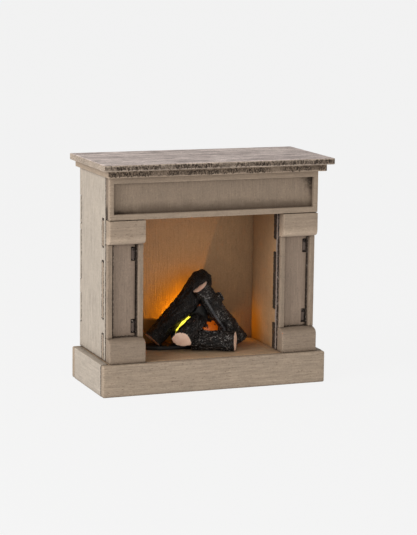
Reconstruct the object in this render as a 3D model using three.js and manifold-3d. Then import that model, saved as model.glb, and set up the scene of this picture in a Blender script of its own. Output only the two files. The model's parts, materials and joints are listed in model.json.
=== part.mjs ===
// Miniature fireplace mantel for a dolls' house, with a lit log pile.
//
// Units are millimetres and +Z is up. The origin is at the middle of the footprint, on the
// surface that the mantel stands on; -Y is the front. The carcass is cut from one thin sheet
// and glued up from separate boards, with finger joints at the front and rear corners. A lamp
// behind the logs is fed by three button cells in a tray behind the frieze, with a slide
// switch beside it, and both are reached from the rear panel.
import * as THREE from "three";
import { mergeVertices } from "three/addons/utils/BufferGeometryUtils.js";
import Module from "manifold-3d";

const wasm = await Module();
wasm.setup();

// ---------------------------------------------------------------- driving dimensions

const totalHeight = 125;
const sheet = 3.15; // thickness of the board that most pieces are cut from
const slip = 0.1; // clearance on a glued joint
const cutGap = 0.3; // clearance around a piece that is cut to fit its neighbour

const shelfHalfWidth = 65.6;
const shelfThickness = 3.5;
const rearY = 30.4; // rear face of the whole mantel
const shelfFrontY = -30.4;

const bedHalfWidth = 62.4;
const bedThickness = 3.85;
const bedFrontY = -27.1;

const bodyHalfWidth = 59.8;
const friezeFrontY = -21.65;
const friezeBottomZ = 94.5;
const friezeRailHeight = 3.1; // lower rail of the raised frame
const friezeTopRailHeight = 3.65; // upper rail, part of it under the moulding
const friezeStileWidth = 2.55;

const pilasterWidth = 20.2;
const stileWidth = 2.8;
const capitalHeight = 13.1;
const capitalFlat = 9.45;
const capitalFrontY = -22.2;
const baseBlockHeight = 13.1;
const baseBlockFlat = 9.05;
const baseBlockFrontY = -23.0;

const plinthHeight = 17.45;
const plinthBoard = 4.25;
const plinthHalfWidth = 64.25;
const plinthFrontY = -25.35;

const fireboxBackY = 22.05; // front face of the firebox's back wall
const baseBoardThickness = 2;

// Finger joint between the front panel and the four upright sheets that it runs through.
const fingerSpans = [[plinthHeight, 32.1], [40.1, 71.6], [79.1, 94.2]];
const fingerEndGap = 0.35;
// Finger joint between the side panels and the rear panel.
const rearFingerSpans = [[31.9, 47.4], [55.8, 82.6], [86.5, 101.5]];
const rearFingerGap = 0.15;
// Locating keys at the right-hand edge of each pilaster's backing panel.
const keySpans = { lower: [32.4, 40.0], upper: [71.7, 79.2] };
const keyWidth = 2.3;
const keyEndGap = 0.45;

// Button cells, tray and door, on one centre line behind the frieze.
const cellRadius = 5.8;
const cellThickness = 5.4;
const cellCount = 3;
const cellY = 20.4;
const cellZ = 106.9;
const trayHalfLength = 11;
const trayHalfHeight = 6.3;
const trayWall = 1.6;
const trayFloorY = 13.9;
const flangeThickness = 1.2;
const bossWidth = 9;
const contactThickness = 0.4;
const doorScrewX = 15.6;
const screwShankRadius = 0.75;
const screwHeadRadius = 1.9;
const screwHeadHeight = 1.1;

// Slide switch, left of the tray seen from the front.
const switchX = -32;
const switchZ = 106.9;
const switchTravel = 2;
const knobWidth = 1.9;
const knobHeight = 2;

const leadRadius = 0.45;
const ledRadius = 1.5;
const ledX = -2.4;
const ledZ = 25.5;
const ledBaseY = 15.2;

// ---------------------------------------------------------------- planes that follow

const bedTopZ = totalHeight - shelfThickness;
const bodyTopZ = bedTopZ - bedThickness;
const friezePanelFrontY = friezeFrontY + sheet;
const carcassFrontY = friezePanelFrontY + sheet; // front edges of the side panels
const frontPanelY = carcassFrontY + sheet + 0.2; // front face of the fingered panel
const rearPanelY = rearY - sheet;
const sideInnerX = bodyHalfWidth - sheet;
const cheekInnerX = bodyHalfWidth - pilasterWidth; // wall of the firebox opening
const cheekOuterX = cheekInnerX + sheet;
const hearthBottomZ = plinthHeight - sheet;
const plinthInnerY = plinthFrontY + plinthBoard;
const fireboxRearY = fireboxBackY + sheet;
const ceilingTopZ = friezeBottomZ + sheet;

// ---------------------------------------------------------------- finishes

const look = (color, roughness, metalness = 0) =>
  new THREE.MeshStandardMaterial({ color, roughness, metalness });
const paint = () => look(0x9c8f80, 0.8);
const sidePaint = () => look(0xc2b6a6, 0.8);
const hearthPaint = () => look(0x7c6a55, 0.85);
const bareEdge = () => look(0x54463c, 0.9);
const charredResin = () => look(0x171615, 0.75);
const amberResin = () => look(0xc05a10, 0.35);
const blackPlastic = () => look(0x1d1d1f, 0.5);
const steel = () => look(0xa9abad, 0.35, 1);
const brass = () => look(0xb8973f, 0.35, 1);

// ---------------------------------------------------------------- shape helpers

const mantel = new THREE.Group();

function add(name, geometry, material, parent = mantel) {
  const mesh = new THREE.Mesh(geometry, material);
  mesh.name = name;
  parent.add(mesh);
  return mesh;
}

// A plain board between two corners.
function board(name, [x0, x1], [y0, y1], [z0, z1], material) {
  const mesh = add(name, new THREE.BoxGeometry(x1 - x0, y1 - y0, z1 - z0), material);
  mesh.position.set((x0 + x1) / 2, (y0 + y1) / 2, (z0 + z1) / 2);
  return mesh;
}

function outline(points, holes = []) {
  const shape = new THREE.Shape(points.map(([u, v]) => new THREE.Vector2(u, v)));
  for (const hole of holes) {
    shape.holes.push(new THREE.Path(hole.map(([u, v]) => new THREE.Vector2(u, v))));
  }
  return shape;
}

const rectangle = (u0, u1, v0, v1) => [[u0, v0], [u1, v0], [u1, v1], [u0, v1]];

const extrude = (shape, depth, curveSegments = 8) =>
  new THREE.ExtrudeGeometry(shape, { depth, bevelEnabled: false, curveSegments });

// A sheet whose outline is drawn in X and Z, standing between two Y planes.
function frontSheet(name, shape, y0, y1, material) {
  const mesh = add(name, extrude(shape, y1 - y0), material);
  mesh.rotation.x = Math.PI / 2;
  mesh.position.y = y1;
  return mesh;
}

// A sheet whose outline is drawn in Y and Z, standing between two X planes.
const sideways = new THREE.Matrix4().makeBasis(
  new THREE.Vector3(0, 1, 0), new THREE.Vector3(0, 0, 1), new THREE.Vector3(1, 0, 0));

function sideSheet(name, shape, x0, x1, material, curveSegments = 8) {
  const mesh = add(name, extrude(shape, x1 - x0, curveSegments), material);
  mesh.quaternion.setFromRotationMatrix(sideways);
  mesh.position.x = x0;
  return mesh;
}

function toSolid(geometry) {
  const bare = geometry.clone();
  bare.deleteAttribute("normal");
  bare.deleteAttribute("uv");
  const merged = mergeVertices(bare, 1e-4);
  return new wasm.Manifold(new wasm.Mesh({
    numProp: 3,
    vertProperties: new Float32Array(merged.attributes.position.array),
    triVerts: new Uint32Array(merged.index.array),
  }));
}

function toGeometry(solid) {
  const { numProp, vertProperties, triVerts } = solid.getMesh();
  const geometry = new THREE.BufferGeometry();
  const positions = new Float32Array((vertProperties.length / numProp) * 3);
  for (let i = 0; i < positions.length / 3; i += 1) {
    positions.set(vertProperties.subarray(i * numProp, i * numProp + 3), i * 3);
  }
  geometry.setAttribute("position", new THREE.BufferAttribute(positions, 3));
  geometry.setIndex(new THREE.BufferAttribute(new Uint32Array(triVerts), 1));
  geometry.computeVertexNormals();
  return geometry;
}

// Closed solids in the mantel's own frame, for joining and cutting.
function boxSolid([x0, x1], [y0, y1], [z0, z1]) {
  const box = new THREE.BoxGeometry(x1 - x0, y1 - y0, z1 - z0);
  return toSolid(box.translate((x0 + x1) / 2, (y0 + y1) / 2, (z0 + z1) / 2));
}

// A cylinder along Y between two planes.
function rodSolid(radius, x, z, y0, y1, sides = 24) {
  const rod = new THREE.CylinderGeometry(radius, radius, y1 - y0, sides);
  return toSolid(rod.translate(x, (y0 + y1) / 2, z));
}

// Insulated wire along a smooth route.
function wire(name, route, color) {
  const curve = new THREE.CatmullRomCurve3(route.map((p) => new THREE.Vector3(...p)), false,
    "catmullrom", 0.25);
  const section = new THREE.Shape();
  section.absarc(0, 0, leadRadius, 0, Math.PI * 2);
  const geometry = new THREE.ExtrudeGeometry(section,
    { extrudePath: curve, steps: route.length * 5, curveSegments: 4 });
  return add(name, geometry, look(color, 0.5));
}

// ---------------------------------------------------------------- shelf and frieze

function addShelf() {
  board("mantel_shelf", [-shelfHalfWidth, shelfHalfWidth], [shelfFrontY, rearY],
    [bedTopZ, totalHeight], look(0xa2968d, 0.85));
  board("bed_moulding", [-bedHalfWidth, bedHalfWidth], [bedFrontY, rearY],
    [bodyTopZ, bedTopZ], paint());
}

// A raised frame in front of a flat panel makes the long sunk field of the frieze.
function addFrieze() {
  const frame = outline(
    rectangle(-bodyHalfWidth, bodyHalfWidth, friezeBottomZ, bodyTopZ),
    [rectangle(-bodyHalfWidth + friezeStileWidth, bodyHalfWidth - friezeStileWidth,
      friezeBottomZ + friezeRailHeight, bodyTopZ - friezeTopRailHeight)]);
  frontSheet("frieze_frame", frame, friezeFrontY, friezePanelFrontY, paint());
  board("frieze_panel", [-bodyHalfWidth, bodyHalfWidth], [friezePanelFrontY, carcassFrontY],
    [friezeBottomZ, bodyTopZ], look(0x84796a, 0.85));
}

// ---------------------------------------------------------------- pilasters

// Section of a capital, seen from the side: a flat face whose lower end rounds over and then
// sweeps in to the shaft. The base block is the same section turned upside down.
function blockSection(frontY, height, flat, upright) {
  const up = (z) => (upright ? z : height - z);
  const lip = height - flat;
  const shaftY = friezePanelFrontY;
  const section = new THREE.Shape();
  section.moveTo(carcassFrontY, up(height));
  section.lineTo(frontY, up(height));
  section.lineTo(frontY, up(lip));
  section.bezierCurveTo(frontY, up(lip * 0.45), frontY + 0.9, up(lip * 0.25),
    frontY + (shaftY - frontY) * 0.62, up(lip * 0.12));
  section.lineTo(shaftY, up(0));
  section.lineTo(carcassFrontY, up(0));
  section.closePath();
  return section;
}

function addPilaster(side, sign) {
  const outer = sign * bodyHalfWidth;
  const inner = sign * cheekInnerX;
  const span = [Math.min(outer, inner), Math.max(outer, inner)];
  const capitalBottomZ = friezeBottomZ - 0.25 - capitalHeight;
  const baseTopZ = plinthHeight + baseBlockHeight;

  const capital = sideSheet(`${side}_capital`,
    blockSection(capitalFrontY, capitalHeight, capitalFlat, true), ...span, paint(), 10);
  capital.position.z = capitalBottomZ;
  const base = sideSheet(`${side}_base_block`,
    blockSection(baseBlockFrontY, baseBlockHeight, baseBlockFlat, false), ...span, paint(), 10);
  base.position.z = plinthHeight;

  const shaft = [baseTopZ + 0.05, capitalBottomZ - 0.05];
  const stileDepth = [friezePanelFrontY, carcassFrontY];
  board(`${side}_outer_stile`, ascending(outer, outer - sign * stileWidth), stileDepth, shaft,
    paint());
  board(`${side}_inner_stile`, ascending(inner, inner + sign * stileWidth), stileDepth, shaft,
    paint());
}

const ascending = (a, b) => (a < b ? [a, b] : [b, a]);

// The sunk backing of a pilaster stands between the side panel and the firebox cheek. Both
// backings are the same piece, so both have their key notches at the right-hand edge.
function addPilasterPanel(side, leftX) {
  const left = leftX + slip;
  const right = leftX + pilasterWidth - 2 * sheet - 0.4;
  const notch = right - keyWidth;
  const points = [[left, plinthHeight], [right, plinthHeight]];
  for (const [z0, z1] of [keySpans.lower, keySpans.upper]) {
    points.push([right, z0], [notch, z0], [notch, z1], [right, z1]);
  }
  points.push([right, bodyTopZ - slip], [left, bodyTopZ - slip]);
  frontSheet(`${side}_pilaster_panel`, outline(points), carcassFrontY, carcassFrontY + sheet,
    look(0x84786a, 0.85));
  for (const [level, [z0, z1]] of Object.entries(keySpans)) {
    board(`${side}_${level}_key`, [notch + slip, right - slip],
      [carcassFrontY + 0.25, carcassFrontY + sheet], [z0 + keyEndGap, z1 - keyEndGap],
      bareEdge());
  }
}

// ---------------------------------------------------------------- carcass

// One sheet behind both pilasters and the frieze. Its fingers pass through the side panels
// and the firebox cheeks and end flush with their far faces.
function addFrontPanel() {
  const outerEdge = [];
  const innerEdge = [];
  let lastZ = plinthHeight;
  for (const [z0, z1] of fingerSpans) {
    if (z0 > lastZ) {
      outerEdge.push([sideInnerX - slip, lastZ], [sideInnerX - slip, z0]);
      innerEdge.push([cheekOuterX + slip, lastZ], [cheekOuterX + slip, z0]);
    }
    outerEdge.push([bodyHalfWidth, z0], [bodyHalfWidth, z1]);
    innerEdge.push([cheekInnerX, z0], [cheekInnerX, z1]);
    lastZ = z1;
  }
  outerEdge.push([sideInnerX - slip, lastZ], [sideInnerX - slip, bodyTopZ - slip]);
  innerEdge.push([cheekOuterX + slip, lastZ], [cheekOuterX + slip, ceilingTopZ + slip]);

  const mirrored = (edge) => edge.map(([x, z]) => [-x, z]);
  const points = [
    ...outerEdge,
    ...mirrored(outerEdge).reverse(),
    ...mirrored(innerEdge),
    ...[...innerEdge].reverse(),
  ];
  frontSheet("front_panel", outline(points), frontPanelY, frontPanelY + sheet,
    look(0x8d7f6d, 0.85));
}

const slotFrontY = frontPanelY - slip;
const slotRearY = frontPanelY + sheet + slip;

// An upright sheet with closed slots for the front panel's fingers; the lowest slot is open
// at the bottom edge.
function slottedOutline(frontY, rearEdge, topZ) {
  const [low, ...closed] = fingerSpans;
  const points = [
    [frontY, plinthHeight],
    [slotFrontY, plinthHeight],
    [slotFrontY, low[1] + fingerEndGap],
    [slotRearY, low[1] + fingerEndGap],
    [slotRearY, plinthHeight],
    ...rearEdge,
    [frontY, topZ],
  ];
  const slots = closed.map(([z0, z1]) =>
    rectangle(slotFrontY, slotRearY, z0 - fingerEndGap, Math.min(z1 + fingerEndGap, topZ - 0.1)));
  return outline(points, slots);
}

function addUprights() {
  const rearEdge = [[rearPanelY - slip, plinthHeight]];
  for (const [z0, z1] of rearFingerSpans) {
    rearEdge.push([rearPanelY - slip, z0], [rearY - slip, z0], [rearY - slip, z1],
      [rearPanelY - slip, z1]);
  }
  rearEdge.push([rearPanelY - slip, bodyTopZ]);
  const sideOutline = () => slottedOutline(carcassFrontY, rearEdge, bodyTopZ);
  sideSheet("left_side_panel", sideOutline(), -bodyHalfWidth, -sideInnerX, sidePaint());
  sideSheet("right_side_panel", sideOutline(), sideInnerX, bodyHalfWidth, paint());

  const cheekRear = [[fireboxBackY - slip, plinthHeight], [fireboxBackY - slip, friezeBottomZ]];
  const cheekOutline = () => slottedOutline(carcassFrontY, cheekRear, friezeBottomZ);
  sideSheet("left_firebox_cheek", cheekOutline(), -cheekOuterX, -cheekInnerX, hearthPaint());
  sideSheet("right_firebox_cheek", cheekOutline(), cheekInnerX, cheekOuterX, hearthPaint());
}

const leadHole = { x: ledX, z: ledZ, radius: 2 };

function addFirebox() {
  const back = outline(
    rectangle(-cheekOuterX, cheekOuterX, plinthHeight, friezeBottomZ - slip));
  const hole = new THREE.Path();
  hole.absarc(leadHole.x, leadHole.z, leadHole.radius, 0, Math.PI * 2);
  back.holes.push(hole);
  frontSheet("firebox_back", back, fireboxBackY, fireboxRearY, hearthPaint());
  board("firebox_ceiling", [-cheekOuterX, cheekOuterX], [carcassFrontY + slip, fireboxRearY],
    [friezeBottomZ + 0.05, ceilingTopZ], hearthPaint());
  board("hearth_board", [-bodyHalfWidth, bodyHalfWidth],
    [plinthInnerY + 0.05, rearY - plinthBoard - 0.05], [hearthBottomZ, plinthHeight - 0.02],
    hearthPaint());
}

function addPlinth() {
  const height = [0, plinthHeight - 0.02];
  const sideSpan = [plinthInnerY + 0.05, rearY - plinthBoard - 0.05];
  board("plinth_front_board", [-plinthHalfWidth, plinthHalfWidth],
    [plinthFrontY, plinthInnerY], height, paint());
  board("plinth_rear_board", [-plinthHalfWidth, plinthHalfWidth],
    [rearY - plinthBoard, rearY], height, paint());
  board("plinth_left_board", [-plinthHalfWidth, -bodyHalfWidth - 0.05], sideSpan, height,
    sidePaint());
  board("plinth_right_board", [bodyHalfWidth + 0.05, plinthHalfWidth], sideSpan, height, paint());
  board("base_board", [-bodyHalfWidth, bodyHalfWidth], sideSpan, [0, baseBoardThickness],
    look(0x8a7358, 0.9));
}

// ---------------------------------------------------------------- battery tray and door

const trayZ = [cellZ - trayHalfHeight - trayWall, cellZ + trayHalfHeight + trayWall];
const trayX = [-trayHalfLength - trayWall, trayHalfLength + bossWidth];
const doorX = [-trayHalfLength - 1, trayHalfLength + bossWidth - 1];
const doorZ = [cellZ - trayHalfHeight - 1.1, cellZ + trayHalfHeight + 1.1];
const doorY = [rearPanelY + 0.1, rearY - 0.3];
const doorGap = 0.35;
const contactTabZ = [cellZ - 1.4, cellZ + 1.4];
const contactX = {
  positive: [-trayHalfLength + 0.05, -trayHalfLength + 0.05 + contactThickness],
  negative: [trayHalfLength - 0.05 - contactThickness, trayHalfLength - 0.05],
};
const contactTabY = trayFloorY - trayWall - 1.4;

function addRearPanel() {
  const right = [];
  let lastZ = plinthHeight + 0.05;
  for (const [z0, z1] of rearFingerSpans) {
    const inside = sideInnerX - slip;
    right.push([bodyHalfWidth, lastZ], [bodyHalfWidth, z0 - rearFingerGap],
      [inside, z0 - rearFingerGap], [inside, z1 + rearFingerGap]);
    lastZ = z1 + rearFingerGap;
  }
  right.push([bodyHalfWidth, lastZ], [bodyHalfWidth, bodyTopZ - 0.05]);
  const left = right.map(([x, z]) => [-x, z]).reverse();
  const doorHole = rectangle(doorX[0] - doorGap, doorX[1] + doorGap,
    doorZ[0] - doorGap, doorZ[1] + doorGap);
  const knobRoom = (switchTravel + knobWidth) / 2 + 0.3;
  const knobSlot = rectangle(switchX - knobRoom, switchX + knobRoom,
    switchZ - knobHeight / 2 - 0.4, switchZ + knobHeight / 2 + 0.4);
  frontSheet("rear_panel", outline([...right, ...left], [doorHole, knobSlot]),
    rearPanelY, rearY, paint());
}

function addBatteryTray() {
  const flangeX = [trayX[0] - 2, trayX[1] + 2];
  const flangeZ = [trayZ[0] - 1, trayZ[1] + 1];
  const backY = rearPanelY - 0.05;
  const body = boxSolid(trayX, [trayFloorY - trayWall, backY], trayZ)
    .add(boxSolid(flangeX, [backY - flangeThickness, backY], flangeZ));
  const pocket = boxSolid([-trayHalfLength, trayHalfLength], [trayFloorY, rearY],
    [cellZ - trayHalfHeight, cellZ + trayHalfHeight]);
  const screwHole = rodSolid(screwShankRadius + 0.2, doorScrewX, cellZ, backY - 6, rearY);
  let tray = body.subtract(pocket).subtract(screwHole);
  for (const [x0, x1] of Object.values(contactX)) {
    tray = tray.subtract(boxSolid([x0 - 0.04, x1 + 0.04], [trayFloorY - trayWall - 1, rearY - 8],
      [contactTabZ[0] - 0.1, contactTabZ[1] + 0.1]));
  }
  add("battery_box", toGeometry(tray), blackPlastic());
}

function addCells() {
  const firstX = contactX.positive[1] + 0.1;
  for (let i = 0; i < cellCount; i += 1) {
    const bevel = 0.45;
    const half = cellThickness / 2;
    const profile = [
      [0, -half], [cellRadius - bevel, -half], [cellRadius, -half + bevel],
      [cellRadius, half - 0.9], [cellRadius - 0.5, half - 0.5], [cellRadius - 0.8, half], [0, half],
    ].map(([r, h]) => new THREE.Vector2(r, h));
    const cell = add(`button_cell_${i + 1}`, new THREE.LatheGeometry(profile, 32), steel());
    cell.rotation.z = -Math.PI / 2;
    cell.position.set(firstX + half + i * (cellThickness + 0.1), cellY, cellZ);
  }
  return firstX + cellCount * (cellThickness + 0.1);
}

function addContacts(springStartX) {
  for (const [name, xs] of Object.entries(contactX)) {
    const plate = boxSolid(xs, [trayFloorY + 0.3, trayFloorY + 11.3], [cellZ - 4.6, cellZ + 4.6])
      .add(boxSolid(xs, [contactTabY, trayFloorY + 1], contactTabZ));
    add(`${name}_contact`, toGeometry(plate), brass());
  }
  // Conical spring that presses the stack of cells against the other contact.
  const turns = 2.75;
  const endX = contactX.negative[0] - 0.35;
  const wireRadius = 0.28;
  const start = springStartX + wireRadius + 0.05;
  class Cone extends THREE.Curve {
    getPoint(t) {
      const radius = 2 + 2 * t;
      const angle = t * turns * Math.PI * 2;
      return new THREE.Vector3(start + (endX - start) * t,
        cellY + radius * Math.cos(angle), cellZ + radius * Math.sin(angle));
    }
  }
  const section = new THREE.Shape();
  section.absarc(0, 0, wireRadius, 0, Math.PI * 2);
  const spring = new THREE.ExtrudeGeometry(section,
    { extrudePath: new Cone(), steps: 44, curveSegments: 3 });
  add("contact_spring", spring, steel());
}

function addDoor() {
  const headY = doorY[1] - screwHeadHeight;
  let door = boxSolid(doorX, doorY, doorZ)
    .subtract(rodSolid(screwShankRadius + 0.2, doorScrewX, cellZ, doorY[0] - 1, rearY))
    .subtract(rodSolid(screwHeadRadius + 0.2, doorScrewX, cellZ, headY - 0.1, rearY + 1));
  // Grip ribs are left standing between shallow grooves across the plain end.
  for (let i = 0; i < 4; i += 1) {
    const x = doorX[0] + 2.2 + i * 1.6;
    door = door.subtract(boxSolid([x, x + 0.8], [doorY[1] - 0.4, rearY + 1],
      [doorZ[0] + 2.5, doorZ[1] - 2.5]));
  }
  add("battery_door", toGeometry(door), blackPlastic());

  const head = rodSolid(screwHeadRadius, doorScrewX, cellZ, headY + 0.05, doorY[1] - 0.05);
  const shank = rodSolid(screwShankRadius, doorScrewX, cellZ, doorY[0] - 4.5, headY + 0.3);
  const reach = 1.2;
  const slotHalf = 0.22;
  const slotY = [doorY[1] - 0.65, rearY + 1];
  const cross = boxSolid([doorScrewX - reach, doorScrewX + reach], slotY,
    [cellZ - slotHalf, cellZ + slotHalf])
    .add(boxSolid([doorScrewX - slotHalf, doorScrewX + slotHalf], slotY,
      [cellZ - reach, cellZ + reach]));
  add("door_screw", toGeometry(head.add(shank).subtract(cross)), steel());
}

// ---------------------------------------------------------------- switch, lamp and leads

const switchBody = {
  x: [switchX - 4.6, switchX + 4.6],
  y: [rearPanelY - 5.2, rearPanelY - 0.1],
  z: [switchZ - 2.4, switchZ + 2.4],
};
const pinX = [switchX - 2.5, switchX + 2.5];
const pinTipY = switchBody.y[0] - 2.6;

// The slider rests at the low-X end of its slot, which is the lamp's "on" place.
function addSwitch() {
  const pocketX = [switchX - switchTravel / 2 - 1.9, switchX + switchTravel / 2 + 1.9];
  const pocketFloorY = switchBody.y[1] - 2.4;
  let body = boxSolid(switchBody.x, switchBody.y, switchBody.z)
    .subtract(boxSolid(pocketX, [pocketFloorY, rearY], [switchZ - 1.3, switchZ + 1.3]));
  for (const x of pinX) {
    body = body.add(boxSolid([x - 0.3, x + 0.3], [pinTipY, switchBody.y[0] + 0.5],
      [switchZ - 0.3, switchZ + 0.3]));
  }
  add("switch_body", toGeometry(body), look(0x8b8d8f, 0.4, 0.8));

  const restX = switchX - switchTravel / 2;
  const slider = boxSolid([restX - 1.7, restX + 1.7], [pocketFloorY + 0.2, switchBody.y[1] - 0.3],
    [switchZ - 1.05, switchZ + 1.05])
    .add(boxSolid([restX - knobWidth / 2, restX + knobWidth / 2],
      [pocketFloorY + 0.5, rearY - 0.25], [switchZ - knobHeight / 2, switchZ + knobHeight / 2]));
  add("switch_slider", toGeometry(slider), blackPlastic());
}

function addLamp() {
  const flangeHeight = 1;
  const bodyHeight = 4.6;
  const profile = new THREE.Path();
  profile.moveTo(0, 0);
  profile.lineTo(ledRadius + 0.35, 0);
  profile.lineTo(ledRadius + 0.35, flangeHeight);
  profile.lineTo(ledRadius, flangeHeight);
  profile.lineTo(ledRadius, bodyHeight - ledRadius);
  profile.absarc(0, bodyHeight - ledRadius, ledRadius, 0, Math.PI / 2);
  const lamp = add("led_lamp", new THREE.LatheGeometry(profile.getPoints(6), 20),
    look(0xf7ee58, 0.2));
  lamp.rotation.x = Math.PI;
  lamp.position.set(ledX, ledBaseY, ledZ);
}

const resistorX = [pinX[0] - 6.6, pinX[0] - 2.6];
const resistorY = pinTipY + 0.4;

function addLeads() {
  const resistorLength = resistorX[1] - resistorX[0];
  const bead = 1.15;
  const waist = 0.9;
  const profile = [
    [0, 0], [bead * 0.7, 0], [bead, 0.4], [bead, 0.9], [waist, 1.2],
    [waist, resistorLength - 1.2], [bead, resistorLength - 0.9], [bead, resistorLength - 0.4],
    [bead * 0.7, resistorLength], [0, resistorLength],
  ].map(([r, h]) => new THREE.Vector2(r, h));
  const resistor = add("resistor", new THREE.LatheGeometry(profile, 16), look(0xcdb58a, 0.5));
  resistor.rotation.z = -Math.PI / 2;
  resistor.position.set(resistorX[0], resistorY, switchZ);

  const shaftY = (fireboxRearY + rearPanelY) / 2; // narrow way down behind the firebox
  const tipY = pinTipY - 0.35 - leadRadius;
  wire("battery_lead", [
    [contactX.positive[0] + 0.2, contactTabY - 0.35, cellZ],
    [contactX.positive[0] - 0.8, contactTabY - 3, cellZ],
    [-17, contactTabY - 4, cellZ + 1],
    [-23, contactTabY - 2, cellZ + 1],
    [pinX[1] + 1.4, tipY + 1.2, switchZ + 0.3],
    [pinX[1] + 0.7, pinTipY - 0.5, switchZ],
  ], 0xa3221c);
  wire("led_supply_lead", [
    [resistorX[0] - 0.3, resistorY, switchZ],
    [resistorX[0] - 2.2, resistorY + 0.6, switchZ - 1.6],
    [resistorX[0] - 1.4, shaftY - 1.2, switchZ - 6],
    [resistorX[0] + 1, shaftY, 95],
    [-30, shaftY, 70],
    [-17, shaftY, 42],
    [ledX - 4.4, shaftY, 29],
    [ledX - 1.1, shaftY - 0.9, ledZ + 0.4],
    [ledX - 0.8, fireboxBackY + 0.5, ledZ],
    [ledX - 0.7, ledBaseY + 3, ledZ],
    [ledX - 0.7, ledBaseY + 0.35, ledZ],
  ], 0xa3221c);
  wire("led_return_lead", [
    [contactX.negative[1] - 0.2, contactTabY - 0.35, cellZ],
    [contactX.negative[1] + 0.6, contactTabY - 3, cellZ],
    [19, contactTabY - 3.4, cellZ],
    [25.5, 14, cellZ - 2],
    [27, shaftY - 2, 101.5],
    [26, shaftY, 94],
    [20, shaftY, 66],
    [10, shaftY, 40],
    [ledX + 4.4, shaftY, 29],
    [ledX + 1.1, shaftY - 0.9, ledZ + 0.4],
    [ledX + 0.8, fireboxBackY + 0.5, ledZ],
    [ledX + 0.7, ledBaseY + 3, ledZ],
    [ledX + 0.7, ledBaseY + 0.35, ledZ],
  ], 0x1c1c1e);
}

// ---------------------------------------------------------------- log pile

// Each log is a lathe-turned bar between two points, bowed sideways by its bend, with a
// rounded or a sawn head and its surface worked uneven. A sawn head leans: its face looks along
// the log's axis plus the lean.
const logs = {
  left_log: {
    foot: [-25.4, 7.4, 23.2], head: [7.4, 9.6, 58.4], radii: [5.3, 5.9, 6.7],
    bend: [1.0, 0, -1.2], lean: [0, 0, 0], domed: true, seed: 1,
  },
  right_log: {
    foot: [24.4, 3.0, 20.7], head: [0.6, 2.4, 52.0], radii: [5.1, 4.8, 4.8],
    bend: [0, 0, 0], lean: [0, 0, 0], domed: false, seed: 2,
  },
  front_log: {
    foot: [-4.6, 0.6, 22.9], head: [17.4, -9.3, 22.9], radii: [5.1, 5.3, 5.5],
    bend: [0, 0, 0], lean: [-0.04, -0.1, 0.02], domed: false, seed: 3,
  },
  short_log: {
    foot: [1.7, 4.4, 33.0], head: [-13.6, -7.6, 25.3], radii: [4.5, 4.6, 5.1],
    bend: [0, 0, 0.6], lean: [0.24, -0.22, -0.2], domed: false, seed: 4,
  },
};

const logSides = 16;
const logRings = 10;

// Closed side profile of a log of unit length: radius against the distance from the foot.
function logProfile(radii, length, grow, domed) {
  const profile = [new THREE.Vector2(0, 0)];
  for (let i = 0; i <= logRings; i += 1) {
    const t = i / logRings;
    const [footRadius, middleRadius, headRadius] = radii;
    const middle = 1 - Math.abs(2 * t - 1);
    let radius = (t < 0.5 ? footRadius : headRadius) * (1 - middle) + middleRadius * middle;
    const toHead = (1 - t) * length;
    if (domed && toHead < radius * 0.8) {
      radius *= Math.sqrt(1 - (1 - toHead / (radius * 0.8)) ** 2 * 0.75);
    }
    profile.push(new THREE.Vector2(radius + grow, t * length));
  }
  profile.push(new THREE.Vector2(0, length));
  return profile;
}

function logGeometry({ foot, head, radii, bend, lean, domed, seed }, grow = 0) {
  const start = new THREE.Vector3(...foot);
  const axis = new THREE.Vector3(...head).sub(start);
  const length = axis.length() + 2 * grow;
  axis.normalize();
  const geometry = new THREE.LatheGeometry(logProfile(radii, length, grow, domed), logSides);
  const place = geometry.attributes.position;
  for (let i = 0; i < place.count; i += 1) {
    const x = place.getX(i);
    const y = place.getY(i);
    const z = place.getZ(i);
    const step = Math.round((Math.atan2(z, x) / Math.PI) * (logSides / 2)) % (logSides / 2);
    const turn = step * (Math.PI / (logSides / 2)) + (x < 0 && step === 0 ? Math.PI : 0);
    const swell = 1 + 0.045 * Math.sin(3 * turn + seed * 2.1 + y * 0.21)
      + 0.03 * Math.sin(5 * turn - seed + y * 0.37);
    place.setXYZ(i, x * swell, y, z * swell);
  }
  const up = new THREE.Vector3(0, 1, 0);
  geometry.applyQuaternion(new THREE.Quaternion().setFromUnitVectors(up, axis));
  start.addScaledVector(axis, -grow);
  geometry.translate(start.x, start.y, start.z);
  const bow = new THREE.Vector3(...bend);
  const tilt = new THREE.Vector3(...lean);
  for (let i = 0; i < place.count; i += 1) {
    const point = new THREE.Vector3().fromBufferAttribute(place, i);
    const along = point.clone().sub(start).dot(axis);
    const share = along / length;
    const radial = point.clone().sub(start).addScaledVector(axis, -along);
    const slide = -radial.dot(tilt) / (1 + axis.dot(tilt)) * Math.max(0, 2 * share - 1);
    point.addScaledVector(bow, 1 - (2 * share - 1) ** 2).addScaledVector(axis, slide);
    place.setXYZ(i, point.x, point.y, point.z);
  }
  return geometry;
}

const logSolid = (name, grow = 0) => toSolid(logGeometry(logs[name], grow));

// A broken-off branch that stands out of the right-hand log and tapers towards its tip.
const branch = {
  middle: [10.6, 2.6, 44.6], direction: [0.86, 0.22, 0.46],
  tipRadius: 2.6, rootRadius: 3.4, length: 6.5,
};

function branchSolid(grow) {
  const bar = new THREE.CylinderGeometry(
    branch.tipRadius + grow, branch.rootRadius + grow, branch.length + grow, 12);
  const direction = new THREE.Vector3(...branch.direction).normalize();
  bar.applyQuaternion(
    new THREE.Quaternion().setFromUnitVectors(new THREE.Vector3(0, 1, 0), direction));
  return toSolid(bar.translate(...branch.middle));
}

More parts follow.
